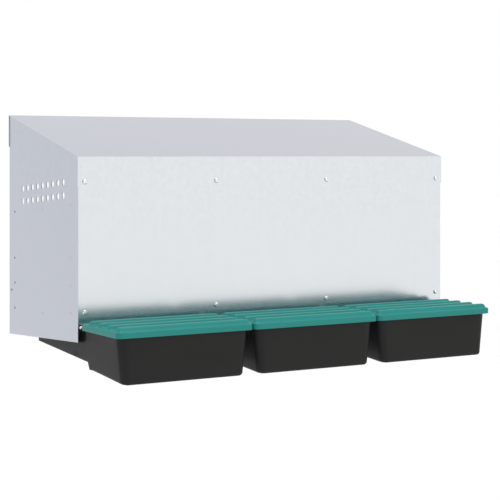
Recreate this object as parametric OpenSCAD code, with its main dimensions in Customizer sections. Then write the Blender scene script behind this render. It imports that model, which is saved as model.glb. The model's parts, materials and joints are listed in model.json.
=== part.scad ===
// Three-compartment roll-away laying nest for poultry. A folded sheet-steel housing
// hangs on a coop wall. Hens enter from the wall side, and the eggs roll forward on
// three plastic trays that slide out at the front, each under a hinged lid.
//
// Frame: millimetres, +X to the right seen from the egg side, +Y towards the hens'
// side, +Z up. The origin is the centre of the four hanging holes, on the rear face
// of the side walls' rear flanges.

/* [Housing] */
// Width over the two side walls
body_w = 720; // [700:1:750]
// Depth from the front panel's face to the rear flanges' face
body_d = 293; // [285:1:310]
// Height of a side wall's front edge, up to the roof's front edge
front_h = 294; // [285:1:310]
// Rise of the roof from front to back
roof_rise = 72; // [60:1:85]
// Fall of the side walls' lower edge from front to back
bottom_drop = 16; // [12:1:18]
// Thickness of the sheet steel
sheet_t = 1; // [0.8:0.1:1.2]
// Height of the roof's front flange
roof_front_flange = 48; // [44:1:52]
// Height of the roof's rear flange
roof_rear_flange = 55; // [50:1:60]
// How far the roof stands out past each side wall
roof_overhang = 1.3; // [0.8:0.1:2]
// Width of the upright flanges of walls and dividers
upright_flange = 20; // [18:1:22]
// Height of the gap under the front panel, above the walls' lower front corners
panel_gap = 30; // [28:1:32]
// Height of the folded hem along the front panel's lower edge
panel_hem = 10; // [8:1:11]

/* [Vents and holes] */
// Number of vent slots in a row
vent_count = 9; // [5:1:9]
// Distance between vent slots
vent_pitch = 21.5; // [18:0.5:22]
// Width of a vent slot
vent_w = 10; // [8:0.5:10]
// Height of a vent slot
vent_h = 11; // [10.5:0.5:12]
// Diameter of the spare fixing holes in a side wall
fixing_hole_d = 4.3; // [4:0.1:5]
// Diameter of the hanging holes
hanging_hole_d = 6; // [5:0.5:7]
// Distance between the hanging holes, up and down
hanging_pitch_z = 240; // [220:1:250]

/* [Egg trays] */
// Width of a tray's chute, inside the housing
tray_w = 220; // [218:1:221]
// Width of a tray's basin at its top, in front of the housing
basin_w = 229; // [226:0.5:230]
// Length of the egg basin in front of the panel
basin_l = 137; // [130:1:137]
// Thickness of the tray's plastic
tray_t = 2.2; // [2:0.1:2.6]
// How much narrower each side of the basin is at the bottom
tray_draft = 7.6; // [6:0.2:8]
// Radius of the basin's upright front corners
basin_corner_r = 14; // [12:1:18]
// Length of the tray's chute inside the housing
chute_l = 190; // [186:1:191]

/* [Lids] */
// Width of a lid
lid_w = 238; // [236:1:238]
// Length of a lid from its front edge to the front panel's face
lid_l = 143; // [142:1:149]
// Height of the rim around the lid
lid_rim_h = 9.6; // [8:0.1:10]
// Height of the raised ribs above the lid's plate
rib_h = 6.5; // [4:0.5:6.5]
// Distance between the ribs
rib_pitch = 32.8; // [31:0.1:33]
// Diameter of the steel rod that a lid turns on
rod_d = 4.5; // [4:0.1:4.6]

/* [Fasteners] */
// Thread diameter of the screws
screw_d = 4; // [4:0.5:4]
// Diameter of a screw's pan head
screw_head_d = 8; // [7.5:0.1:8.2]
// Height of a screw's pan head
screw_head_h = 2.6; // [2.2:0.1:2.8]
// Width of a nut across its flats
nut_af = 7; // [7:0.1:7.4]
// Thickness of a nut
nut_t = 3.2; // [3:0.1:3.4]

/* [Hidden] */
$fn = 48;

steel_colour = [0.80, 0.82, 0.85];
screw_colour = [0.70, 0.72, 0.74];
tray_colour = [0.16, 0.16, 0.16];
lid_colour = [0.15, 0.52, 0.46];

// Widths and places across the nest
cell_w = body_w / 3;
side_x = body_w / 2;
divider_x = cell_w / 2;
edge_inset = 11;
// A divider's screws stand this far from its sheet, on the side of the middle cell
divider_inset = 10;
screw_x = [-side_x + edge_inset, -divider_x + divider_inset,
           divider_x - divider_inset, side_x - edge_inset];
rear_flange = 18;
rear_screw_x = [-side_x + divider_inset, -divider_x + divider_inset,
                divider_x - divider_inset, side_x - divider_inset];

// Heights: the hanging holes' centre is 144 above the walls' lower front corners
front_y = -body_d;
bottom_z = -144;
roof_front_z = bottom_z + front_h;
roof_back_z = roof_front_z + roof_rise;
roof_span = body_d + 2 * sheet_t;
panel_bottom_z = bottom_z + panel_gap;
top_screw_z = roof_front_z - 40;
bottom_screw_z = panel_bottom_z + 17;
rear_screw_z = roof_back_z - 32;
// Gap left between a wall's top edge and the roof
roof_gap = 0.4;
top_flange = 15;
bottom_flange = 9.3;
// Small gap between parts that slide past each other
slip = 0.3;
// Cutters reach this far past a face
over = 5;

function wall_bottom(y) = bottom_z - bottom_drop * (y - front_y) / body_d;
function roof_top(y) = roof_front_z + roof_rise * (y - front_y + sheet_t) / roof_span;
function roof_under(y) = roof_top(y) - sheet_t * sqrt(1 + pow(roof_rise / roof_span, 2));
// Points on an arc about centre c, from angle a to angle b
function arc(c, r, a, b, steps) =
    [for (i = [0 : steps]) let (t = a + (b - a) * i / steps) c + r * [cos(t), sin(t)]];

// Entry sill: a floor strip that falls towards the front, with a lip at the rear
sill_floor_z = -143.5;
sill_fall = 5;
sill_l = 113;
sill_lip_z = -132;
sill_screw_z = sill_floor_z + 5.5;
sill_end_gap = 1.5;
function sill_top(y) = sill_floor_z + sill_fall * y / sill_l;
// Tabs cut from the floor strip and bent down, which stop the trays
stop_w = 20;
stop_h = 9;
stop_spacing = 120;

// Tray heights, from the basin's rim down
rim_z = -117;
chute_front_z = -174.5;
chute_rise = 13;
basin_back_z = -186.4;
basin_front_z = -196.2;
basin_front_slant = 1;
tray_edge_r = 5;
basin_front_y = front_y - basin_l;
chute_back_y = front_y + chute_l;
// The wide basin narrows to the chute here, clear of the lid's knuckles
shoulder_y = front_y - 12.5;
// The floor steps up from the basin to the chute between these
step_foot_y = front_y - 15;
step_top_y = front_y - 11;
// The chute's side walls stay high as far back as this
wing_end_y = front_y + 30;
wing_top_z = rim_z - 1;
lip_t = 2.2;
lip_w = 7;
tray_rim_side = 1.2;
tray_rim_front = 3;
function lip_bottom(y) = wall_bottom(y) + sheet_t + slip;

// Lid and hinge
lid_t = 2.7;
lid_top_z = rim_z + slip + lid_t;
lid_skirt_t = 2;
lid_corner_r = 10;
hinge_y = front_y - 5.5;
knuckle_r = 3.75;
hinge_z = rim_z - 3;
ear_in = 4;
knuckle_gap = 1;
// The lid's rear corners are cut away, so that the hinge rod's ends show
corner_cut_w = 4;
corner_cut_l = 13;
lid_rear_gap = 2.5;
rib_first = 31.5;
rib_w = 15;
rib_top_w = 9;
rib_shoulder = 0.55;
rib_end_inset = 2.5;
rib_count = 4;
rod_play = 0.08;
rod_grip = 0.02;

// Extrudes a side outline, drawn as (y, z), along X from x0
module along_x(x0, length) {
    translate([x0, 0, 0])
        rotate([90, 0, 90])
            linear_extrude(length)
                children();
}

// A cutter for a round hole through a sheet that faces X
module hole_along_x(y, z, d) {
    translate([-side_x - over, y, z])
        rotate([0, 90, 0])
            cylinder(d = d, h = 2 * over);
}

// A cutter for a round hole through sheets that face Y, all within reach of y
module hole_along_y(x, y, z, d) {
    translate([x, y + over, z])
        rotate([90, 0, 0])
            cylinder(d = d, h = 2 * over);
}

// Holes for screws at each place in a list of X positions
module screw_holes(xs, y, z) {
    for (x = xs)
        hole_along_y(x, y, z, screw_d + 0.5);
}

// One upright vent slot with round ends
module vent_cutter(y, z) {
    for (side = [-1, 1])
        hole_along_x(y, z + side * (vent_h - vent_w) / 2, vent_w);
    translate([-side_x - over, y - vent_w / 2, z - (vent_h - vent_w) / 2])
        cube([2 * over, vent_w, vent_h - vent_w]);
}

// Two falling rows of vent slots
module vent_rows() {
    first_y = front_y + 59;
    first_z = roof_front_z - 41.5;
    row_gap = 21.6;
    fall_per_slot = 1.76;
    for (row = [0, 1])
        for (i = [0 : vent_count - 1])
            vent_cutter(first_y + i * vent_pitch, first_z - row * row_gap - i * fall_per_slot);
}

// Spare fixing holes: two columns, a pair of pilot holes and one odd hole.
// Each is given by its distance from the front face and its height over the lower edge.
module spare_holes() {
    fixing = [[27, 46], [27, 89.5], [27, 133], [27, 218],
              [268, 46], [268, 89.5], [268, 133], [268, 212.5], [282.5, 77]];
    pilot = [[145.5, 41], [145.5, 215]];
    pilot_d = 2.4;
    for (h = fixing)
        hole_along_x(front_y + h[0], wall_bottom(front_y + h[0]) + h[1], fixing_hole_d);
    for (h = pilot)
        hole_along_x(front_y + h[0], wall_bottom(front_y + h[0]) + h[1], pilot_d);
}

// The upright flanges at front and rear of a wall or divider whose sheet starts at x0.
// They reach from the sheet by the given widths, towards +X.
module upright_flanges(x0, front_w, rear_w, rear_low_z) {
    low_z = panel_bottom_z + panel_hem + 1;
    corner_gap = 2.5;
    translate([x0, front_y + sheet_t, low_z])
        cube([front_w, sheet_t, roof_under(front_y) - corner_gap - low_z]);
    translate([x0, -sheet_t, rear_low_z])
        cube([rear_w, sheet_t, roof_under(0) - corner_gap - rear_low_z]);
}

// The flange under the roof, from x0 towards +X
module roof_flange(x0) {
    y0 = front_y + 6;
    y1 = -6;
    along_x(x0, top_flange)
        polygon([[y0, roof_under(y0) - roof_gap - sheet_t], [y1, roof_under(y1) - roof_gap - sheet_t],
                 [y1, roof_under(y1) - roof_gap], [y0, roof_under(y0) - roof_gap]]);
}

// A strip along the lower edge, from y0 to y1, which carries a tray's lip
module tray_ledge(x0, width, y0, y1) {
    along_x(x0, width)
        polygon([[y0, wall_bottom(y0)], [y1, wall_bottom(y1)],
                 [y1, wall_bottom(y1) + sheet_t], [y0, wall_bottom(y0) + sheet_t]]);
}

// The left side wall, with its flanges folded inwards
module side_wall() {
    y0 = front_y + sheet_t;
    notch_top = 8;
    notch_h = 14;
    notch_w = 3.4;
    difference() {
        union() {
            along_x(-side_x, sheet_t)
                polygon([[y0, wall_bottom(y0)], [0, wall_bottom(0)],
                         [0, roof_under(0) - roof_gap], [y0, roof_under(y0) - roof_gap]]);
            upright_flanges(-side_x, upright_flange, rear_flange, wall_bottom(0) + 2);
            roof_flange(-side_x);
            tray_ledge(-side_x, bottom_flange, front_y + 3, -3);
        }
        // Relief at the upper front corner
        translate([-side_x - over, front_y, roof_front_z - notch_top - notch_h])
            cube([over + notch_w, notch_w, notch_h]);
        vent_rows();
        spare_holes();
        screw_holes([screw_x[0]], front_y, top_screw_z);
        screw_holes([screw_x[0]], front_y, bottom_screw_z);
        screw_holes([rear_screw_x[0]], 0, rear_screw_z);
        screw_holes([rear_screw_x[0]], 0, sill_screw_z);
        for (side = [-1, 1])
            hole_along_y(rear_screw_x[0], 0, side * hanging_pitch_z / 2, hanging_hole_d);
    }
}

module left_side_wall() {
    color(steel_colour) side_wall();
}

module right_side_wall() {
    color(steel_colour) mirror([1, 0, 0]) side_wall();
}

// The left divider. Its lower edge is slit into tabs, bent left and right in turn,
// and is cut away at the rear to clear the entry sill.
module divider() {
    x0 = -divider_x - sheet_t / 2;
    y0 = front_y + sheet_t;
    sill_start = -sill_l - 3;
    sill_clear = 0.5;
    tab_count = 6;
    tab_gap = 2;
    tab_l = (sill_start - y0 - 3) / tab_count - tab_gap;
    difference() {
        union() {
            along_x(x0, sheet_t)
                polygon([[y0, wall_bottom(y0)], [sill_start, wall_bottom(sill_start)],
                         [sill_start, sill_top(sill_start) + sill_clear],
                         [0, sill_top(0) + sill_clear],
                         [0, roof_under(0) - roof_gap], [y0, roof_under(y0) - roof_gap]]);
            upright_flanges(x0, upright_flange + sheet_t / 2, upright_flange + sheet_t / 2,
                            sill_floor_z + sill_clear);
            roof_flange(x0);
            for (i = [0 : tab_count - 1]) {
                tab_y = y0 + 3 + i * (tab_l + tab_gap);
                tab_x = i % 2 == 0 ? -divider_x - bottom_flange : x0;
                tray_ledge(tab_x, bottom_flange + sheet_t / 2, tab_y, tab_y + tab_l);
            }
        }
        // Room for the front panel's hem
        translate([x0 - over, front_y - over, bottom_z - over])
            cube([2 * over, over + 2 * sheet_t + slip, over + panel_gap + panel_hem + 1]);
        screw_holes([screw_x[1]], front_y, top_screw_z);
        screw_holes([screw_x[1]], front_y, bottom_screw_z);
        screw_holes([rear_screw_x[1]], 0, rear_screw_z);
        screw_holes([rear_screw_x[1]], 0, sill_screw_z);
    }
}

module left_divider() {
    color(steel_colour) divider();
}

module right_divider() {
    color(steel_colour) mirror([1, 0, 0]) divider();
}

// One sheet bent down at the front over the panel and at the rear over the flanges
module roof() {
    half_w = side_x + roof_overhang;
    color(steel_colour)
    difference() {
        along_x(-half_w, 2 * half_w)
            polygon([[front_y - sheet_t, roof_front_z],
                     [front_y - sheet_t, roof_front_z - roof_front_flange],
                     [front_y, roof_front_z - roof_front_flange],
                     [front_y, roof_under(front_y)],
                     [0, roof_under(0)],
                     [0, roof_back_z - roof_rear_flange],
                     [sheet_t, roof_back_z - roof_rear_flange],
                     [sheet_t, roof_back_z]]);
        screw_holes(screw_x, front_y, top_screw_z);
        screw_holes(rear_screw_x, 0, rear_screw_z);
    }
}

// The front panel, with a hem folded back flat along its lower edge
module front_panel() {
    hem_side_gap = 2;
    color(steel_colour)
    difference() {
        union() {
            translate([-side_x, front_y, panel_bottom_z])
                cube([body_w, sheet_t, roof_under(front_y) - roof_gap - panel_bottom_z]);
            translate([-side_x + hem_side_gap, front_y, panel_bottom_z])
                cube([body_w - 2 * hem_side_gap, 2 * sheet_t, panel_hem]);
        }
        screw_holes(screw_x, front_y, top_screw_z);
        screw_holes(screw_x, front_y, bottom_screw_z);
    }
}

// Places one child at each stop tab: two behind each tray
module at_stops() {
    for (cell = [-cell_w, 0, cell_w])
        for (side = [-1, 1])
            translate([cell + side * stop_spacing / 2 - stop_w / 2, chute_back_y + slip, 0])
                children();
}

// The floor strip on the hens' side, with an upright lip that the eggs can't roll over
module entry_sill() {
    half_w = side_x - sheet_t - sill_end_gap;
    y1 = -sill_l;
    stop_top_z = sill_top(chute_back_y) - sheet_t / 2;
    color(steel_colour)
    difference() {
        union() {
            along_x(-half_w, 2 * half_w)
                polygon([[y1, sill_top(y1)], [0, sill_top(0)], [0, sill_lip_z], [sheet_t, sill_lip_z],
                         [sheet_t, sill_top(0) - sheet_t], [y1, sill_top(y1) - sheet_t]]);
            at_stops()
                translate([0, 0, stop_top_z - stop_h])
                    cube([stop_w, sheet_t, stop_h]);
        }
        // The windows that the tabs were cut from
        at_stops()
            translate([0, sheet_t, stop_top_z - over])
                cube([stop_w, stop_h, 2 * over]);
        // The floor's rear corners clear the side walls' rear flanges
        for (side = [-1, 1])
            translate([side * side_x - rear_flange - 1, -sheet_t - slip, sill_floor_z - over])
                cube([2 * rear_flange + 2, sheet_t + slip, over + slip]);
        screw_holes(rear_screw_x, 0, sill_screw_z);
    }
}

// Side outline of a tray, as (y, z): basin in front, chute behind
module tray_outline() {
    r = tray_edge_r;
    basin_toe = [basin_front_y + basin_front_slant + r, basin_front_z + r];
    chute_end_z = chute_front_z + chute_rise;
    polygon(concat(
        [[basin_front_y, rim_z]],
        arc(basin_toe, r, 180, 266, 8),
        [[step_foot_y, basin_back_z], [step_top_y, chute_front_z]],
        arc([chute_back_y - r, chute_end_z + r], r, 274, 360, 8),
        [[chute_back_y, lip_bottom(chute_back_y) + lip_t],
         [wing_end_y, lip_bottom(wing_end_y) + lip_t],
         [wing_end_y, wing_top_z], [shoulder_y, wing_top_z], [shoulder_y, rim_z]]));
}

// Side outline of the space inside a tray, open at the top
module tray_hollow_outline() {
    r = tray_edge_r - tray_t;
    basin_toe = [basin_front_y + basin_front_slant + tray_edge_r, basin_front_z + tray_edge_r];
    chute_end_z = chute_front_z + chute_rise + tray_t;
    open_z = rim_z + 20;
    polygon(concat(
        [[basin_front_y + tray_t, open_z], [basin_front_y + tray_t, rim_z]],
        arc(basin_toe, r, 180, 266, 8),
        [[step_foot_y - tray_t, basin_back_z + tray_t],
         [step_top_y - tray_t, chute_front_z + tray_t]],
        arc([chute_back_y - tray_t - r, chute_end_z + r], r, 274, 360, 8),
        [[chute_back_y - tray_t, open_z]]));
}

// Across-the-tray outline, as (x, z), narrower by inset on each side
module tray_section(inset, open) {
    r = tray_edge_r - inset;
    half_top = basin_w / 2 - inset;
    low_z = basin_front_z;
    half_low = half_top - tray_draft;
    polygon(concat(
        [[half_top, rim_z + open], [-half_top, rim_z + open], [-half_top, rim_z]],
        arc([-half_low + r, low_z + tray_edge_r], r, 180, 270, 8),
        arc([half_low - r, low_z + tray_edge_r], r, 270, 360, 8),
        [[half_top, rim_z]]));
}

// Plan outline of a basin with round front corners, and of the narrower chute behind it
module tray_plan(inset, rear_y) {
    half = basin_w / 2 - inset;
    chute_half = tray_w / 2 - inset;
    r = basin_corner_r - inset;
    y0 = basin_front_y + inset;
    y1 = shoulder_y - inset;
    polygon(concat(
        arc([-half + r, y0 + r], r, 180, 270, 10),
        arc([half - r, y0 + r], r, 270, 360, 10),
        [[half, y1], [chute_half, y1], [chute_half, rear_y],
         [-chute_half, rear_y], [-chute_half, y1], [-half, y1]]));
}

// A solid with the tray's outer form, or with inset and open set its inner form
module tray_form(inset, open) {
    depth = rim_z - basin_front_z + 2 * over;
    intersection() {
        along_x(-tray_w, 2 * tray_w) children();
        translate([0, chute_back_y + over, 0])
            rotate([90, 0, 0])
                linear_extrude(chute_back_y + over - basin_front_y + over)
                    tray_section(inset, open);
        translate([0, 0, basin_front_z - over])
            linear_extrude(depth + open)
                tray_plan(inset, chute_back_y + over);
    }
}

// The rim turned out around the top of the basin
module tray_rim() {
    half = basin_w / 2 + tray_rim_side;
    y0 = basin_front_y - tray_rim_front;
    y1 = shoulder_y;
    r = basin_corner_r;
    translate([0, 0, rim_z - tray_t])
        linear_extrude(tray_t)
            difference() {
                polygon(concat(
                    arc([-half + r, y0 + r], r, 180, 270, 10),
                    arc([half - r, y0 + r], r, 270, 360, 10),
                    [[half, y1], [-half, y1]]));
                tray_plan(tray_t, front_y);
            }
}

// Side lips that lie on the ledges of the housing
module tray_lips() {
    y0 = front_y + 2;
    for (side = [-1, 1])
        along_x(side * (tray_w / 2 + (lip_w - 2.5) / 2) - (lip_w + 2.5) / 2, lip_w + 2.5)
            polygon([[y0, lip_bottom(y0)], [chute_back_y, lip_bottom(chute_back_y)],
                     [chute_back_y, lip_bottom(chute_back_y) + lip_t],
                     [y0, lip_bottom(y0) + lip_t]]);
}

// The two ears that hold the hinge rod
module tray_ears() {
    ear_foot = 14;
    for (side = [-1, 1])
        translate([side * (tray_w / 2 - ear_in / 2) - ear_in / 2, hinge_y, hinge_z]) {
            rotate([0, 90, 0])
                cylinder(r = knuckle_r, h = ear_in);
            translate([0, -knuckle_r, -ear_foot])
                cube([ear_in, 2 * knuckle_r, ear_foot]);
        }
}

// A tray in the middle cell: basin, chute, rim, lips and hinge ears in one moulding
module egg_tray() {
    difference() {
        union() {
            difference() {
                tray_form(0, 0) tray_outline();
                tray_form(tray_t, 20) tray_hollow_outline();
            }
            tray_rim();
            tray_lips();
            tray_ears();
        }
        translate([-tray_w, hinge_y, hinge_z])
            rotate([0, 90, 0])
                cylinder(d = rod_d - 2 * rod_grip, h = 2 * tray_w);
    }
}

module left_egg_tray() {
    color(tray_colour) translate([-cell_w, 0, 0]) egg_tray();
}

module middle_egg_tray() {
    color(tray_colour) egg_tray();
}

module right_egg_tray() {
    color(tray_colour) translate([cell_w, 0, 0]) egg_tray();
}

// Plan outline of a lid, narrower by inset at the sides and front
module lid_plan(inset, rear_y) {
    half = lid_w / 2 - inset;
    r = lid_corner_r - inset;
    y0 = front_y - lid_l + inset;
    polygon(concat(
        arc([-half + r, y0 + r], r, 180, 270, 8),
        arc([half - r, y0 + r], r, 270, 360, 8),
        [[half, rear_y], [-half, rear_y]]));
}

// A bar with round ends along X, used for a rib and for the hollow under it
module rib_bar(y, half_l, width, z0, z1) {
    translate([0, y, z0])
        linear_extrude(z1 - z0)
            union() {
                square([2 * half_l - width, width], center = true);
                for (side = [-1, 1])
                    translate([side * (half_l - width / 2), 0])
                        circle(d = width);
            }
}

// A raised rib: a broad foot and a narrower crown
module rib(y) {
    half_l = lid_w / 2 - rib_end_inset;
    crown_inset = (rib_w - rib_top_w) / 2;
    rib_bar(y, half_l, rib_w, lid_top_z - lid_t / 2, lid_top_z + rib_shoulder * rib_h);
    rib_bar(y, half_l - crown_inset, rib_top_w, lid_top_z, lid_top_z + rib_h);
}

// The hollow moulded under a rib
module rib_hollow(y) {
    wall = 2.4;
    roof_z = lid_top_z + rib_shoulder * rib_h - wall / 2;
    rib_bar(y, lid_w / 2 - rib_end_inset - wall, rib_w - 2 * wall, lid_top_z - lid_t - over, roof_z);
}

// Knuckles along the lid's rear edge, in three lengths beside the tray's ears
module lid_knuckles() {
    ear_out = tray_w / 2;
    inner = ear_out - ear_in - knuckle_gap;
    outer = ear_out + knuckle_gap;
    lengths = [[-lid_w / 2 + corner_cut_w, -outer], [-inner, inner], [outer, lid_w / 2 - corner_cut_w]];
    for (span = lengths)
        translate([span[0], hinge_y, hinge_z])
            rotate([0, 90, 0])
                cylinder(r = knuckle_r, h = span[1] - span[0]);
}

// A lid in the middle cell
module tray_lid() {
    ear_out = tray_w / 2;
    difference() {
        union() {
            difference() {
                translate([0, 0, lid_top_z - lid_rim_h])
                    linear_extrude(lid_rim_h)
                        lid_plan(0, front_y - lid_rear_gap);
                translate([0, 0, lid_top_z - lid_rim_h - over])
                    linear_extrude(over + lid_rim_h - lid_t)
                        lid_plan(lid_skirt_t, hinge_y + over);
            }
            lid_knuckles();
            for (i = [0 : rib_count - 1])
                rib(front_y - rib_first - i * rib_pitch);
        }
        for (i = [0 : rib_count - 1])
            rib_hollow(front_y - rib_first - i * rib_pitch);
        // Cut rear corners
        for (side = [-1, 1])
            translate([side * lid_w / 2 - corner_cut_w, front_y - corner_cut_l, lid_top_z - 2 * lid_rim_h])
                cube([2 * corner_cut_w, 2 * corner_cut_l, 4 * lid_rim_h]);
        // Notches for the tray's ears
        for (side = [-1, 1])
            translate([side * (ear_out - ear_in / 2) - ear_in / 2 - knuckle_gap,
                       hinge_y - knuckle_r - knuckle_gap, hinge_z - 2 * knuckle_r])
                cube([ear_in + 2 * knuckle_gap, 3 * knuckle_r, 4 * knuckle_r]);
        translate([-lid_w, hinge_y, hinge_z])
            rotate([0, 90, 0])
                cylinder(d = rod_d + 2 * rod_play, h = 2 * lid_w);
    }
}

module left_tray_lid() {
    color(lid_colour) translate([-cell_w, 0, 0]) tray_lid();
}

module middle_tray_lid() {
    color(lid_colour) tray_lid();
}

module right_tray_lid() {
    color(lid_colour) translate([cell_w, 0, 0]) tray_lid();
}

// The rod that a lid turns on, gripped by the tray's ears
module hinge_rod(x) {
    half_l = lid_w / 2 + 0.5;
    color(screw_colour)
        translate([x - half_l, hinge_y, hinge_z])
            rotate([0, 90, 0])
                cylinder(d = rod_d, h = 2 * half_l);
}

module left_hinge_rod() {
    hinge_rod(-cell_w);
}

module middle_hinge_rod() {
    hinge_rod(0);
}

module right_hinge_rod() {
    hinge_rod(cell_w);
}

// A pan-head screw whose head stands up from z = 0 and whose shank points down
module pan_screw(length) {
    r = screw_head_d / 2;
    edge_r = 1.7;
    recess_w = 1;
    recess_l = 4.4;
    recess_depth = 1.3;
    difference() {
        union() {
            rotate_extrude()
                polygon(concat(
                    [[0, 0], [r, 0]],
                    arc([r - edge_r, screw_head_h - edge_r], edge_r, 0, 80, 6),
                    [[0, screw_head_h]]));
            translate([0, 0, -length])
                cylinder(d = screw_d - 0.1, h = length + 0.5);
        }
        for (turn = [0, 90])
            rotate([0, 0, turn])
                translate([-recess_l / 2, -recess_w / 2, screw_head_h - recess_depth])
                    cube([recess_l, recess_w, over]);
    }
}

// A hexagon nut that stands up from z = 0
module hex_nut() {
    difference() {
        cylinder(d = nut_af / cos(30), h = nut_t, $fn = 6);
        translate([0, 0, -over])
            cylinder(d = screw_d, h = nut_t + 2 * over);
    }
}

// Screws that enter from the front, at each X in a list
module front_screws(xs, head_y, z) {
    color(screw_colour)
        for (x = xs)
            translate([x, head_y, z])
                rotate([90, 0, 0])
                    pan_screw(8);
}

// Screws that enter from the rear
module rear_screws(xs, z) {
    color(screw_colour)
        for (x = xs)
            translate([x, sheet_t, z])
                rotate([-90, 0, 0])
                    pan_screw(8);
}

// Nuts inside the front, on the flanges
module front_nuts(xs, z) {
    color(screw_colour)
        for (x = xs)
            translate([x, front_y + 2 * sheet_t, z])
                rotate([-90, 0, 0])
                    hex_nut();
}

// Nuts inside the rear flanges
module rear_nuts(xs, z) {
    color(screw_colour)
        for (x = xs)
            translate([x, -sheet_t, z])
                rotate([90, 0, 0])
                    hex_nut();
}

module front_top_screws() {
    front_screws(screw_x, front_y - sheet_t, top_screw_z);
}

module front_bottom_screws() {
    front_screws(screw_x, front_y, bottom_screw_z);
}

module rear_top_screws() {
    rear_screws(rear_screw_x, rear_screw_z);
}

module sill_screws() {
    rear_screws(rear_screw_x, sill_screw_z);
}

module front_top_nuts() {
    front_nuts(screw_x, top_screw_z);
}

module front_bottom_nuts() {
    front_nuts(screw_x, bottom_screw_z);
}

module rear_top_nuts() {
    rear_nuts(rear_screw_x, rear_screw_z);
}

module sill_nuts() {
    rear_nuts(rear_screw_x, sill_screw_z);
}

left_side_wall();
right_side_wall();
left_divider();
right_divider();
roof();
front_panel();
entry_sill();
left_egg_tray();
middle_egg_tray();
right_egg_tray();
left_tray_lid();
middle_tray_lid();
right_tray_lid();
left_hinge_rod();
middle_hinge_rod();
right_hinge_rod();
front_top_screws();
front_bottom_screws();
rear_top_screws();
sill_screws();
front_top_nuts();
front_bottom_nuts();
rear_top_nuts();
sill_nuts();
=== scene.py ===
"""Looks of a three-compartment roll-away laying nest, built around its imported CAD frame.

Lengths are in millimetres inside the shape functions, and meshes are written in metres.
"""
import json
import math

import bmesh
import bpy
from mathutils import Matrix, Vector


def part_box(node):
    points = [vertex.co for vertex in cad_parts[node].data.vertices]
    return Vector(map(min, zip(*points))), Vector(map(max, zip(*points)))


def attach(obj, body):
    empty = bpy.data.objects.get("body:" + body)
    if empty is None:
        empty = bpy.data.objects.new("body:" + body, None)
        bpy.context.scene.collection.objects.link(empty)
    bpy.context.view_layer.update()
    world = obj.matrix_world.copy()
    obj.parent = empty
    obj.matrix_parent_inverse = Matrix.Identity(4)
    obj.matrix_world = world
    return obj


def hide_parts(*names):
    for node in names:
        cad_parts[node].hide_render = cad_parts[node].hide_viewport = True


MM = 0.001
CELLS = ("left", "middle", "right")

# Lids
LID_SHELL = 2.2
LID_CORNER_R = 10.0
LID_EDGE_R = 2.2
LID_SKIRT = 9.6
LID_PLATE_REAR = 3.0
RIB_H = 6.5
RIB_FOOT = 19.0
RIB_CROWN = 6.0
RIB_PITCH = 32.8
RIB_FIRST = 26.0
RIB_COUNT = 4
RIB_END_INSET = 1.2
CORNER_CUT_W = 4.0
CORNER_CUT_L = 7.5
EAR_W = 4.0
EAR_GAP = 1.0
EAR_NOTCH_L = 4.75
KNUCKLE_R = 3.75
KNUCKLE_BORE_R = 2.33
KNUCKLE_SOFT = 0.5
LID_BEVEL = 0.35
# Extra row of points behind the first rib, and the least distance of a row from the front corners
LID_REAR_ROW = 13.0
LID_ROW_GAP = 0.2
RIB_STEPS = 12

# Trays
TRAY_SHELL = 2.2
TRAY_HALF = 110.0
BASIN_HALF = 114.5
TRAY_CORNER_R = 14.0
TRAY_REAR_R = 5.0
TRAY_EDGE_R = 5.0
CHUTE_EDGE_R = 1.2
TRAY_DRAFT = 7.6
TRAY_SLANT = 1.0
TRAY_RIM_FRONT = 3.0
TRAY_RIM_SIDE = 1.2
TRAY_TURN_R = 0.9
TRAY_RIM_Z = -117.0
PANEL_Y = -293.0
BASIN_FRONT_Y = -430.0
BASIN_FRONT_Z = -196.2
BASIN_BACK_Z = -186.4
STEP_FOOT_Y = -308.0
SHOULDER_Y = -305.5
STEP_TOP_Y = -304.0
WING_END_Y = -263.0
WING_TOP_Z = -118.0
CHUTE_BACK_Y = -103.0
CHUTE_FRONT_Z = -174.5
CHUTE_RISE = 13.0
LIP_START_Y = -291.0
LIP_IN = 1.1
LIP_OUT = 7.0
LIP_T = 2.2
LIP_FRONT_Z = -142.7
LIP_FALL = 16.0 / 293.0
EAR_FOOT = 15.0
TRAY_BEVEL = 0.4
LIP_BEVEL = 0.6
# Lengths over which the side walls narrow at the shoulder and drop at the wings' end
SHOULDER_RUN = 0.2
WING_RUN = 0.4

# Hinge rods
ROD_R = 2.25
ROD_CHAMFER = 0.5

# Points around a barrel or rod, and the finish of moulded edges
TURN_STEPS = 32
BEVEL_SEGMENTS = 2
BEVEL_ANGLE = 60.0
SMOOTH_CAD_ANGLE = 30.0

# Camera at the photograph's viewpoint, in metres and degrees
CAMERA_PLACE = (-1.316, -2.438, 0.1533)
CAMERA_TURN = (90.0, 0.0, -30.66)
CAMERA_LENS = 106.3
CAMERA_SENSOR = 36.0
CAMERA_SHIFT_Y = -0.191

# Stage, in metres and watts
FLOOR_Z = -1.1
FLOOR_HALF = 30.0
KEY_PLACE = (2.6, -4.7, 0.2)
KEY_AIM = (0.0, -0.3, 0.1)
KEY_SIZE = (5.0, 4.4)
KEY_POWER = 38.0
KEY_COLOUR = (1.0, 0.97, 0.73)
OVERHEAD_PLACE = (0.0, -0.55, 2.4)
OVERHEAD_AIM = (0.0, -0.45, 0.0)
OVERHEAD_SIZE = (1.4, 0.8)
OVERHEAD_POWER = 34.0
WHITE = (1.0, 1.0, 1.0)


# ---------------------------------------------------------------- node helpers

def new_material(name):
    """A node material with one Principled shader. Returns the material, its tree and the shader."""
    material = bpy.data.materials.new(name)
    material.use_nodes = True
    tree = material.node_tree
    shader = tree.nodes["Principled BSDF"]
    return material, tree, shader


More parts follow.
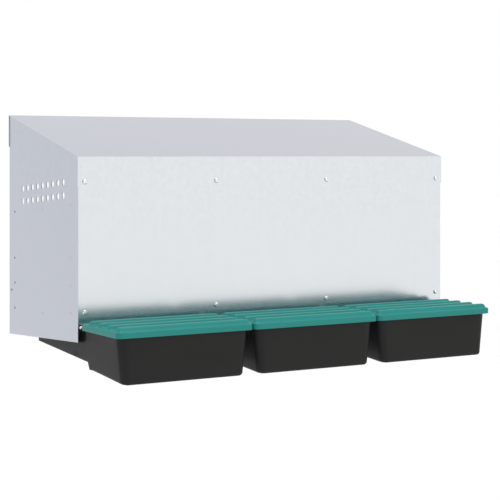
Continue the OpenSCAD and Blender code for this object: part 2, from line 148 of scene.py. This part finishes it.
def object_coordinates(tree, scale=(1.0, 1.0, 1.0)):
    """Object coordinates, stretched by a scale along each axis."""
    coordinates = tree.nodes.new("ShaderNodeTexCoord")
    mapping = tree.nodes.new("ShaderNodeMapping")
    mapping.inputs["Scale"].default_value = scale
    tree.links.new(coordinates.outputs["Object"], mapping.inputs["Vector"])
    return mapping.outputs["Vector"]


def noise(tree, vector, scale, detail=3.0, roughness=0.5):
    """A noise texture's grey output."""
    node = tree.nodes.new("ShaderNodeTexNoise")
    node.inputs["Scale"].default_value = scale
    node.inputs["Detail"].default_value = detail
    node.inputs["Roughness"].default_value = roughness
    tree.links.new(vector, node.inputs["Vector"])
    return node.outputs["Fac"]


def crystals(tree, vector, scale):
    """A flat grey value for each cell of a Voronoi pattern."""
    node = tree.nodes.new("ShaderNodeTexVoronoi")
    node.inputs["Scale"].default_value = scale
    tree.links.new(vector, node.inputs["Vector"])
    grey = tree.nodes.new("ShaderNodeRGBToBW")
    tree.links.new(node.outputs["Color"], grey.inputs["Color"])
    return grey.outputs["Val"]


def ramp(tree, value, stops):
    """Maps a grey value to colours: stops are (position, colour) pairs."""
    node = tree.nodes.new("ShaderNodeValToRGB")
    elements = node.color_ramp.elements
    while len(elements) < len(stops):
        elements.new(0.5)
    for element, (position, colour) in zip(elements, stops):
        element.position = position
        element.color = (*colour, 1.0)
    tree.links.new(value, node.inputs["Fac"])
    return node.outputs["Color"]


def spread(tree, value, low, high):
    """Maps a grey value from 0..1 to low..high."""
    node = tree.nodes.new("ShaderNodeMapRange")
    node.inputs["To Min"].default_value = low
    node.inputs["To Max"].default_value = high
    tree.links.new(value, node.inputs["Value"])
    return node.outputs["Result"]


def blend_values(tree, first, second, share):
    """Mixes two grey values; share is the part of the second."""
    node = tree.nodes.new("ShaderNodeMix")
    node.inputs["Factor"].default_value = share
    tree.links.new(first, node.inputs["A"])
    tree.links.new(second, node.inputs["B"])
    return node.outputs["Result"]


def tint(tree, colour, factor_value, other, blend="MULTIPLY"):
    """Lays one colour over another by a grey factor."""
    node = tree.nodes.new("ShaderNodeMix")
    node.data_type = "RGBA"
    node.blend_type = blend
    tree.links.new(factor_value, node.inputs["Factor"])
    tree.links.new(colour, node.inputs["A"])
    node.inputs["B"].default_value = (*other, 1.0)
    return node.outputs["Result"]


def bump(tree, shader, height, distance, strength=1.0):
    """Adds a bump of a given depth in metres to a shader."""
    node = tree.nodes.new("ShaderNodeBump")
    node.inputs["Strength"].default_value = strength
    node.inputs["Distance"].default_value = distance
    tree.links.new(height, node.inputs["Height"])
    tree.links.new(node.outputs["Normal"], shader.inputs["Normal"])


# ------------------------------------------------------------------- materials

def sheet_steel():
    """Zinc-coated sheet: satin metal with faint crystals and rolling marks."""
    material, tree, shader = new_material("sheet_steel")
    shader.inputs["Metallic"].default_value = 1.0
    cells = crystals(tree, object_coordinates(tree), 160.0)
    streaks = noise(tree, object_coordinates(tree, (1.0, 1.0, 0.06)), 120.0, 4.0, 0.6)
    clouds = noise(tree, object_coordinates(tree), 5.0, 2.0)
    pattern = blend_values(tree, cells, streaks, 0.5)
    base = ramp(tree, pattern, [(0.2, (0.484, 0.507, 0.572)), (0.8, (0.512, 0.535, 0.600))])
    cloudy = tint(tree, base, spread(tree, clouds, 0.0, 0.16), (0.86, 0.89, 0.92))
    tree.links.new(cloudy, shader.inputs["Base Color"])
    tree.links.new(spread(tree, pattern, 0.17, 0.22), shader.inputs["Roughness"])
    bump(tree, shader, pattern, 0.00001, 0.5)
    return material


def tray_plastic():
    """Black moulded plastic with a fine grain."""
    material, tree, shader = new_material("tray_plastic")
    shader.inputs["Specular IOR Level"].default_value = 0.15
    vector = object_coordinates(tree)
    grain = noise(tree, vector, 900.0, 2.0)
    flow = noise(tree, object_coordinates(tree, (1.0, 1.0, 3.0)), 9.0, 3.0)
    base = ramp(tree, flow, [(0.25, (0.0095, 0.0100, 0.0100)), (0.75, (0.0125, 0.0130, 0.0130))])
    tree.links.new(base, shader.inputs["Base Color"])
    tree.links.new(spread(tree, flow, 0.42, 0.52), shader.inputs["Roughness"])
    bump(tree, shader, grain, 0.00004, 0.6)
    return material


def lid_plastic():
    """Teal moulded plastic, a little glossier than the trays."""
    material, tree, shader = new_material("lid_plastic")
    shader.inputs["Specular IOR Level"].default_value = 0.20
    vector = object_coordinates(tree)
    grain = noise(tree, vector, 700.0, 2.0)
    flow = noise(tree, object_coordinates(tree, (0.5, 2.0, 2.0)), 14.0, 3.0)
    base = ramp(tree, flow, [(0.25, (0.010, 0.183, 0.166)), (0.75, (0.013, 0.202, 0.184))])
    tree.links.new(base, shader.inputs["Base Color"])
    tree.links.new(spread(tree, flow, 0.34, 0.42), shader.inputs["Roughness"])
    bump(tree, shader, grain, 0.00003, 0.5)
    return material


def bright_zinc():
    """Bright zinc of the screws and nuts, with fine turning marks."""
    material, tree, shader = new_material("bright_zinc")
    shader.inputs["Metallic"].default_value = 1.0
    mottle = noise(tree, object_coordinates(tree), 600.0, 3.0)
    base = ramp(tree, mottle, [(0.3, (0.62, 0.64, 0.66)), (0.7, (0.74, 0.76, 0.78))])
    tree.links.new(base, shader.inputs["Base Color"])
    tree.links.new(spread(tree, mottle, 0.18, 0.30), shader.inputs["Roughness"])
    bump(tree, shader, mottle, 0.00001, 0.5)
    return material


def rod_steel():
    """Pale drawn steel of the hinge rods, with marks along the rod."""
    material, tree, shader = new_material("rod_steel")
    shader.inputs["Metallic"].default_value = 0.85
    marks = noise(tree, object_coordinates(tree, (0.05, 1.0, 1.0)), 900.0, 3.0)
    base = ramp(tree, marks, [(0.3, (0.68, 0.70, 0.71)), (0.7, (0.80, 0.82, 0.83))])
    tree.links.new(base, shader.inputs["Base Color"])
    tree.links.new(spread(tree, marks, 0.30, 0.42), shader.inputs["Roughness"])
    bump(tree, shader, marks, 0.00002, 0.5)
    return material


def floor_paint():
    """Plain pale floor with a barely seen mottle."""
    material, tree, shader = new_material("floor_paint")
    mottle = noise(tree, object_coordinates(tree), 3.0, 3.0)
    base = ramp(tree, mottle, [(0.3, (0.90, 0.90, 0.90)), (0.7, (0.92, 0.92, 0.92))])
    tree.links.new(base, shader.inputs["Base Color"])
    shader.inputs["Roughness"].default_value = 0.8
    shader.inputs["Emission Color"].default_value = (1.0, 1.0, 1.0, 1.0)
    shader.inputs["Emission Strength"].default_value = 0.12
    return material


# ---------------------------------------------------------------- mesh helpers

def mesh_object(name, points, faces, material, smooth_angle=40.0):
    """A mesh object from points in millimetres, smooth-shaded below the given angle."""
    mesh = bpy.data.meshes.new(name)
    mesh.from_pydata([Vector(p) * MM for p in points], [], faces)
    tidy = bmesh.new()
    tidy.from_mesh(mesh)
    loose = [v for v in tidy.verts if not v.link_faces]
    bmesh.ops.delete(tidy, geom=loose, context="VERTS")
    bmesh.ops.recalc_face_normals(tidy, faces=tidy.faces)
    tidy.to_mesh(mesh)
    tidy.free()
    mesh.materials.append(material)
    mesh.shade_smooth()
    mesh.set_sharp_from_angle(angle=math.radians(smooth_angle))
    item = bpy.data.objects.new(name, mesh)
    bpy.context.scene.collection.objects.link(item)
    return item


def add_bevel(item, width):
    """Rounds an object's sharp edges with a modifier."""
    modifier = item.modifiers.new("edges", "BEVEL")
    modifier.width = width * MM
    modifier.segments = BEVEL_SEGMENTS
    modifier.limit_method = "ANGLE"
    modifier.angle_limit = math.radians(BEVEL_ANGLE)


def add_wall(item, thickness):
    """Gives an open surface its wall thickness, inwards, with a modifier."""
    modifier = item.modifiers.new("wall", "SOLIDIFY")
    modifier.thickness = thickness * MM
    modifier.offset = -1.0
    modifier.use_even_offset = True
    modifier.use_rim = True


def spaced(start, stop, count):
    """Evenly spaced values from start to stop, both included."""
    return [start + (stop - start) * i / count for i in range(count + 1)]


def ringed_grid(ring, corner_r, half_x, front_y, rear_y, xs, ys, rear_r=None):
    """Points and faces of a sheet that turns over along its sides, its front and, with rear_r, its rear.

    ring lists (offset, level) outwards from the start of the corner zone. Each point comes out as
    (x, y, level, across, along), where across and along are its direction out of the corner zone.
    """
    last = len(ring) - 1
    columns = [(-1, k, -half_x + corner_r) for k in range(last, 0, -1)]
    columns += [(0, 0, x) for x in xs]
    columns += [(1, k, half_x - corner_r) for k in range(1, last + 1)]
    rows = [(-1, k, front_y + corner_r) for k in range(last, 0, -1)]
    rows += [(0, 0, y) for y in ys]
    if rear_r is not None:
        rows += [(1, k, rear_y - rear_r) for k in range(1, last + 1)]
    points = []
    for side, a, x in columns:
        for end, b, y in rows:
            k = max(a, b)
            offset, level = ring[k]
            length = math.hypot(a, b) or 1.0
            across = side * a / length
            along = end * b / length
            reach = rear_r / corner_r if end > 0 else 1.0
            points.append((x + across * offset, y + along * offset * reach, level, across, along))
    depth = len(rows)
    faces = []
    for i in range(len(columns) - 1):
        for j in range(depth - 1):
            faces.append((i * depth + j, (i + 1) * depth + j,
                          (i + 1) * depth + j + 1, i * depth + j + 1))
    return points, faces


def revolved(profile, steps, axis_point, hollow):
    """Points and faces of a profile of (distance along, radius), turned about an axis along X.

    A hollow profile runs on from its last point to its first; a solid one is capped at its ends.
    """
    points = []
    for along, radius in profile:
        for step in range(steps):
            angle = 2.0 * math.pi * step / steps
            points.append((axis_point[0] + along,
                           axis_point[1] + radius * math.cos(angle),
                           axis_point[2] + radius * math.sin(angle)))
    faces = []
    count = len(profile)
    spans = count if hollow else count - 1
    for i in range(spans):
        near = i * steps
        far = (i + 1) % count * steps
        for step in range(steps):
            after = (step + 1) % steps
            faces.append((near + step, near + after, far + after, far + step))
    if not hollow:
        faces.append(tuple(range(steps)))
        faces.append(tuple(range((count - 1) * steps, count * steps)))
    return points, faces


def thick_shell(outer, inner, faces):
    """A closed wall between two skins that share one set of faces."""
    base = len(outer)
    walls = list(faces)
    walls += [tuple(base + index for index in reversed(face)) for face in faces]
    uses = {}
    for face in faces:
        for start, end in zip(face, face[1:] + face[:1]):
            uses[(start, end)] = True
    for start, end in uses:
        if (end, start) not in uses:
            walls.append((end, start, base + start, base + end))
    return outer + inner, walls


def merged(parts):
    """Joins several (points, faces) pairs into one."""
    points = []
    faces = []
    for part_points, part_faces in parts:
        base = len(points)
        points += part_points
        faces += [tuple(base + index for index in face) for face in part_faces]
    return points, faces


# ------------------------------------------------------------------------ lids

def rib_height(x, y, half_x, hinge_y):
    """Height of the ribs above the lid's plate at a place on the lid."""
    reach = half_x - RIB_END_INSET - RIB_FOOT / 2.0
    beyond = max(abs(x) - reach, 0.0)
    for i in range(RIB_COUNT):
        rib_y = hinge_y - RIB_FIRST - i * RIB_PITCH
        distance = math.hypot(beyond, y - rib_y)
        if distance < RIB_FOOT / 2.0:
            rise = (RIB_FOOT / 2.0 - distance) / ((RIB_FOOT - RIB_CROWN) / 2.0)
            return RIB_H * (1.0 - math.cos(min(rise, 1.0) * math.pi)) / 2.0
    return 0.0


def lid_rows(hinge_y, front_y, plate_rear):
    """Rows across the lid, close together on the ribs."""
    steps = spaced(0.0, RIB_FOOT / 2.0, RIB_STEPS)[1:]
    rows = [plate_rear, hinge_y, hinge_y - EAR_NOTCH_L, hinge_y - CORNER_CUT_L, hinge_y - LID_REAR_ROW]
    for i in range(RIB_COUNT):
        rib_y = hinge_y - RIB_FIRST - i * RIB_PITCH
        rows += [rib_y + s for s in steps] + [rib_y] + [rib_y - s for s in steps]
        rows.append(rib_y - RIB_PITCH / 2.0)
    limit = front_y + LID_CORNER_R
    rows = [y for y in rows if y > limit + LID_ROW_GAP]
    rows.append(limit)
    return sorted(rows)


def knuckle(x0, x1, hinge_y, hinge_z):
    """A bored barrel on the lid's rear edge, with softened ends."""
    length = x1 - x0
    end_r = KNUCKLE_R - KNUCKLE_SOFT
    profile = [(KNUCKLE_SOFT, KNUCKLE_R), (length - KNUCKLE_SOFT, KNUCKLE_R), (length, end_r),
               (length, KNUCKLE_BORE_R), (0.0, KNUCKLE_BORE_R), (0.0, end_r)]
    return revolved(profile, TURN_STEPS, (x0, hinge_y, hinge_z), True)


def make_lid(cell, material):
    """One lid: ribbed plate, rolled rim and hinge barrels, as a hollow moulding."""
    low, high = (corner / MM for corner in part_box(f"{cell}_tray_lid"))
    hinge_y, hinge_z = (value / MM for value in hinge_place(cell))
    centre_x = (low.x + high.x) / 2.0
    half_x = (high.x - low.x) / 2.0
    plate_rear = hinge_y + LID_PLATE_REAR
    plate_z = high.z - RIB_H
    flat = LID_CORNER_R - LID_EDGE_R
    ring = [(flat * i / 8.0, 0.0) for i in range(9)]
    for turn in spaced(15.0, 90.0, 5):
        bend = math.radians(turn)
        ring.append((flat + LID_EDGE_R * math.sin(bend), LID_EDGE_R * (1.0 - math.cos(bend))))
    ring += [(LID_CORNER_R, drop) for drop in (4.5, 7.0, LID_SKIRT)]
    ear_out = TRAY_HALF
    notch_in = ear_out - EAR_W - EAR_GAP
    notch_out = ear_out + EAR_GAP
    inner_x = half_x - LID_CORNER_R
    right = [0.0, 25.0, 50.0, 75.0, 95.0, 101.0, notch_in, 107.0, 108.0, inner_x]
    xs = [-x for x in reversed(right[1:])] + right
    ys = lid_rows(hinge_y, low.y, plate_rear)
    places, faces = ringed_grid(ring, LID_CORNER_R, half_x, low.y, plate_rear, xs, ys)
    points = []
    for x, y, drop, across, along in places:
        points.append((centre_x + x, y, plate_z - drop + rib_height(x, y, half_x, hinge_y)))

    def kept(face):
        x = abs(sum(places[i][0] for i in face)) / 4.0
        y = sum(places[i][1] for i in face) / 4.0
        in_notch = notch_in < x < notch_out and y > hinge_y - EAR_NOTCH_L
        in_corner = x > half_x - CORNER_CUT_W and y > hinge_y - CORNER_CUT_L
        return not (in_notch or in_corner)

    shell = mesh_object(f"{cell}_lid_shell", points, [f for f in faces if kept(f)], material, 50.0)
    add_wall(shell, LID_SHELL)
    add_bevel(shell, LID_BEVEL)
    barrels = merged([
        knuckle(centre_x + x0, centre_x + x1, hinge_y, hinge_z)
        for x0, x1 in ((-half_x + CORNER_CUT_W, -notch_out), (-notch_in, notch_in),
                       (notch_out, half_x - CORNER_CUT_W))])
    barrel = mesh_object(f"{cell}_lid_barrels", *barrels, material)
    for item in (shell, barrel):
        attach(item, f"{cell}_lid")
    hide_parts(f"{cell}_tray_lid")


def hinge_place(cell):
    """The (y, z) of a lid's hinge axis, in metres."""
    joint = next(j for j in frame["joints"] if j["name"] == f"{cell}_lid_hinge")
    return joint["pos_m"][1], joint["pos_m"][2]


# ----------------------------------------------------------------------- trays

def floor_height(y):
    """Height of a tray's underside along its length."""
    stops = [(BASIN_FRONT_Y, BASIN_FRONT_Z), (STEP_FOOT_Y, BASIN_BACK_Z), (STEP_TOP_Y, CHUTE_FRONT_Z),
             (CHUTE_BACK_Y, CHUTE_FRONT_Z + CHUTE_RISE)]
    if y <= BASIN_FRONT_Y:
        return BASIN_FRONT_Z
    for (y0, z0), (y1, z1) in zip(stops, stops[1:]):
        if y <= y1:
            return z0 + (z1 - z0) * (y - y0) / (y1 - y0)
    return stops[-1][1]


def lip_height(y):
    """Height of the underside of a tray's side lips, which lie on the housing's ledges."""
    return LIP_FRONT_Z - LIP_FALL * (y - PANEL_Y)


def wall_top(y):
    """Height where a tray's wall ends: below the rim's turn in front, open behind."""
    if y <= SHOULDER_Y:
        return TRAY_RIM_Z - TRAY_SHELL - TRAY_TURN_R
    if y <= WING_END_Y:
        return WING_TOP_Z
    return lip_height(y) + LIP_T


def tray_ring():
    """Offsets and levels from a tray's floor, up its wall and out along its rim.

    A level is (kind, amount, angle), where the angle is the skin's own slope: 0 on the flat floor,
    90 on the wall and back to 0 on the rim.
    """
    flat = TRAY_CORNER_R - TRAY_EDGE_R
    ring = [(0.0, ("floor", 0.0, 0.0)), (flat / 2.0, ("floor", 0.0, 0.0)), (flat, ("floor", 0.0, 0.0))]
    for turn in spaced(12.0, 78.0, 6):
        bend = math.radians(turn)
        ring.append((flat + TRAY_EDGE_R * math.sin(bend),
                     ("floor", 1.0 - math.cos(bend), bend)))
    for share in spaced(0.0, 1.0, 4):
        ring.append((TRAY_CORNER_R, ("wall", share, math.pi / 2.0)))
    for turn in (30.0, 60.0, 90.0):
        bend = math.radians(turn)
        ring.append((TRAY_CORNER_R + TRAY_TURN_R * (1.0 - math.cos(bend)),
                     ("rim", math.sin(bend), math.pi / 2.0 - bend)))
    ring.append((TRAY_CORNER_R + TRAY_RIM_FRONT, ("edge", 1.0, 0.0)))
    return ring


def tray_point(x, y, level, across, along, lift):
    """Final place of one tray point, lifted off the outer skin by a distance."""
    kind, amount, slope = level
    edge_r = TRAY_EDGE_R if y < STEP_FOOT_Y else CHUTE_EDGE_R
    floor_z = floor_height(y)
    foot_z = floor_z + edge_r
    turn_z = wall_top(y)
    if kind == "floor":
        z = floor_z + edge_r * amount
    elif kind == "wall":
        z = foot_z + (turn_z - foot_z) * amount
    else:
        z = turn_z + TRAY_TURN_R * amount
    below = min((TRAY_RIM_Z - z) / (TRAY_RIM_Z - BASIN_FRONT_Z - TRAY_EDGE_R), 1.0)
    wider = BASIN_HALF - TRAY_HALF - TRAY_DRAFT * below
    if y > SHOULDER_Y:
        wider = min(wider, 0.0)
    inwards = lift * math.sin(slope)
    # The chute's lower edges are sharper than the basin's, so its floor reaches further out
    if kind == "floor" and along <= 0.0:
        inwards -= (TRAY_EDGE_R - edge_r) * (1.0 - math.sin(slope))
    if kind == "edge":
        inwards += (TRAY_RIM_FRONT - TRAY_RIM_SIDE) * abs(across)
    side_share = min(1.5 * abs(across), 1.0)
    x += math.copysign(side_share, across) * wider - across * inwards
    slant = TRAY_SLANT * below if along < 0.0 else 0.0
    y -= along * (slant * abs(along) + inwards)
    # The step and the shoulder face backwards, so their inner skin lies further forward
    if STEP_FOOT_Y <= y <= STEP_TOP_Y:
        y -= lift
    return x, y, z + lift * math.cos(slope)


def lip(x0, x1):
    """One side lip: a flat strip along the chute that follows the fall of the ledge."""
    points = []
    for x in (x0, x1):
        for y in (LIP_START_Y, CHUTE_BACK_Y):
            points += [(x, y, lip_height(y)), (x, y, lip_height(y) + LIP_T)]
    faces = [(0, 1, 3, 2), (4, 6, 7, 5), (0, 4, 5, 1), (2, 3, 7, 6), (0, 2, 6, 4), (1, 5, 7, 3)]
    return points, faces


def ear(x0, hinge_y, hinge_z):
    """One ear that grips the hinge rod: a post with a round top."""
    outline = [(hinge_y - KNUCKLE_R, hinge_z - EAR_FOOT), (hinge_y + KNUCKLE_R, hinge_z - EAR_FOOT)]
    for turn in spaced(0.0, 180.0, 16):
        bend = math.radians(turn)
        outline.append((hinge_y + KNUCKLE_R * math.cos(bend), hinge_z + KNUCKLE_R * math.sin(bend)))
    count = len(outline)
    points = [(x0, y, z) for y, z in outline] + [(x0 + EAR_W, y, z) for y, z in outline]
    faces = [tuple(range(count)), tuple(range(2 * count - 1, count - 1, -1))]
    for i in range(count):
        after = (i + 1) % count
        faces.append((i, after, count + after, count + i))
    return points, faces


def make_tray(cell, material):
    """One egg tray: basin and chute in one shell with a turned rim, and two ears."""
    low, high = (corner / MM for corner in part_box(f"{cell}_egg_tray"))
    hinge_y, hinge_z = (value / MM for value in hinge_place(cell))
    centre_x = (low.x + high.x) / 2.0
    front_y = low.y + TRAY_RIM_FRONT
    rear_y = high.y
    ring = tray_ring()
    inner_x = TRAY_HALF - TRAY_CORNER_R
    xs = spaced(-inner_x, inner_x, 10)
    ys = spaced(front_y + TRAY_CORNER_R, STEP_FOOT_Y - 4.0, 5)
    ys += [STEP_FOOT_Y, SHOULDER_Y, SHOULDER_Y + SHOULDER_RUN, STEP_TOP_Y]
    ys += spaced(STEP_TOP_Y + 3.0, WING_END_Y, 3)
    ys += spaced(WING_END_Y + WING_RUN, rear_y - TRAY_REAR_R, 8)
    places, faces = ringed_grid(ring, TRAY_CORNER_R, TRAY_HALF, front_y, rear_y, xs, ys, TRAY_REAR_R)
    skins = []
    for lift in (0.0, TRAY_SHELL):
        skin = [tray_point(*place, lift) for place in places]
        skins.append([(centre_x + x, y, z) for x, y, z in skin])

    def kept(face):
        turned = any(places[i][2][0] in ("rim", "edge") for i in face)
        return not turned or sum(places[i][1] for i in face) / 4.0 < SHOULDER_Y

    points, walls = thick_shell(*skins, [f for f in faces if kept(f)])
    shell = mesh_object(f"{cell}_tray_shell", points, walls, material, 45.0)
    add_bevel(shell, TRAY_BEVEL)
    ears = merged([ear(centre_x + side * (TRAY_HALF - EAR_W / 2.0) - EAR_W / 2.0, hinge_y, hinge_z)
                   for side in (-1, 1)])
    ear_pair = mesh_object(f"{cell}_tray_ears", *ears, material, 30.0)
    add_bevel(ear_pair, TRAY_BEVEL)
    lips = merged([lip(centre_x + side * (TRAY_HALF - LIP_IN), centre_x + side * (TRAY_HALF + LIP_OUT))
                   for side in (-1, 1)])
    lip_pair = mesh_object(f"{cell}_tray_lips", *lips, material, 30.0)
    add_bevel(lip_pair, LIP_BEVEL)
    for item in (shell, ear_pair, lip_pair):
        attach(item, f"{cell}_tray")
    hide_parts(f"{cell}_egg_tray")


def make_rod(cell, material):
    """The steel rod of one lid, with chamfered ends."""
    low, high = (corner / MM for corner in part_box(f"{cell}_hinge_rod"))
    length = high.x - low.x
    profile = [(0.0, ROD_R - ROD_CHAMFER), (ROD_CHAMFER, ROD_R),
               (length - ROD_CHAMFER, ROD_R), (length, ROD_R - ROD_CHAMFER)]
    axis = (low.x, (low.y + high.y) / 2.0, (low.z + high.z) / 2.0)
    points, faces = revolved(profile, TURN_STEPS, axis, False)
    rod = mesh_object(f"{cell}_rod", points, faces, material, 30.0)
    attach(rod, f"{cell}_tray")
    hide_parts(f"{cell}_hinge_rod")


# --------------------------------------------------------------------- housing

def finish_cad(nodes, material):
    """Gives CAD nodes their material and smooth shading, except over their sharp edges."""
    for name in nodes:
        item = frame["nodes"][name]
        item.data.materials.clear()
        item.data.materials.append(material)
        for polygon in item.data.polygons:
            polygon.use_smooth = True
        item.data.set_sharp_from_angle(angle=math.radians(SMOOTH_CAD_ANGLE))


# ----------------------------------------------------------------------- stage

def make_floor():
    """A plain pale floor, well below the wall-hung nest."""
    half = FLOOR_HALF / MM
    z = FLOOR_Z / MM
    corners = [(-half, -half, z), (half, -half, z), (half, half, z), (-half, half, z)]
    floor = mesh_object("floor", corners, [(0, 1, 2, 3)], floor_paint())


def make_area_light(name, place, aim, size, power, colour):
    """A soft square light that looks at a point."""
    light = bpy.data.lights.new(name, "AREA")
    light.shape = "RECTANGLE"
    light.size, light.size_y = size
    light.energy = power
    light.color = colour
    item = bpy.data.objects.new(name, light)
    item.location = place
    item.rotation_euler = (Vector(aim) - Vector(place)).to_track_quat("-Z", "Y").to_euler()
    bpy.context.scene.collection.objects.link(item)


def make_world():
    """White studio surroundings, a little dimmer at middle heights."""
    world = bpy.data.worlds.new("studio")
    world.use_nodes = True
    background = world.node_tree.nodes["Background"]
    tree = world.node_tree
    direction = tree.nodes.new("ShaderNodeTexCoord")
    parts = tree.nodes.new("ShaderNodeSeparateXYZ")
    tree.links.new(direction.outputs["Generated"], parts.inputs["Vector"])
    dimmer = (0.94, 0.94, 0.94)
    shade = ramp(tree, parts.outputs["Z"], [(0.15, WHITE), (0.32, dimmer), (0.65, dimmer), (0.8, WHITE)])
    tree.links.new(shade, background.inputs["Color"])
    background.inputs["Strength"].default_value = 1.0
    bpy.context.scene.world = world


def make_camera():
    """The photograph's camera."""
    data = bpy.data.cameras.new("camera")
    data.lens = CAMERA_LENS
    data.sensor_width = CAMERA_SENSOR
    data.shift_y = CAMERA_SHIFT_Y
    data.clip_end = 100.0
    item = bpy.data.objects.new("camera", data)
    item.location = CAMERA_PLACE
    item.rotation_euler = [math.radians(turn) for turn in CAMERA_TURN]
    bpy.context.scene.collection.objects.link(item)
    bpy.context.scene.camera = item


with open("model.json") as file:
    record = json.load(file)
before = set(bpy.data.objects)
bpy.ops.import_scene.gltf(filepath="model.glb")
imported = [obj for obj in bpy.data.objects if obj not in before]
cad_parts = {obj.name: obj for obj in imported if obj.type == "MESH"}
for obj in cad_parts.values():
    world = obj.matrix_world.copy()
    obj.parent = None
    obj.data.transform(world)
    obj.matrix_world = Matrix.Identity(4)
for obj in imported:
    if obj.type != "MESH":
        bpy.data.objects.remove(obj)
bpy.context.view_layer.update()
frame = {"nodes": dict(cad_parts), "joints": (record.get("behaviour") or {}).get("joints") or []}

steel = sheet_steel()
zinc = bright_zinc()
black = tray_plastic()
teal = lid_plastic()
pale_rod = rod_steel()

finish_cad(("left_side_wall", "right_side_wall", "left_divider", "right_divider",
            "roof", "front_panel", "entry_sill"), steel)
finish_cad([name for name in frame["nodes"] if name.endswith(("screws", "nuts"))], zinc)
for cell in CELLS:
    make_tray(cell, black)
    make_lid(cell, teal)
    make_rod(cell, pale_rod)

make_floor()
make_world()
make_area_light("key", KEY_PLACE, KEY_AIM, KEY_SIZE, KEY_POWER, KEY_COLOUR)
make_area_light("overhead", OVERHEAD_PLACE, OVERHEAD_AIM, OVERHEAD_SIZE, OVERHEAD_POWER, WHITE)
make_camera()
bpy.context.scene.view_settings.view_transform = "Standard"
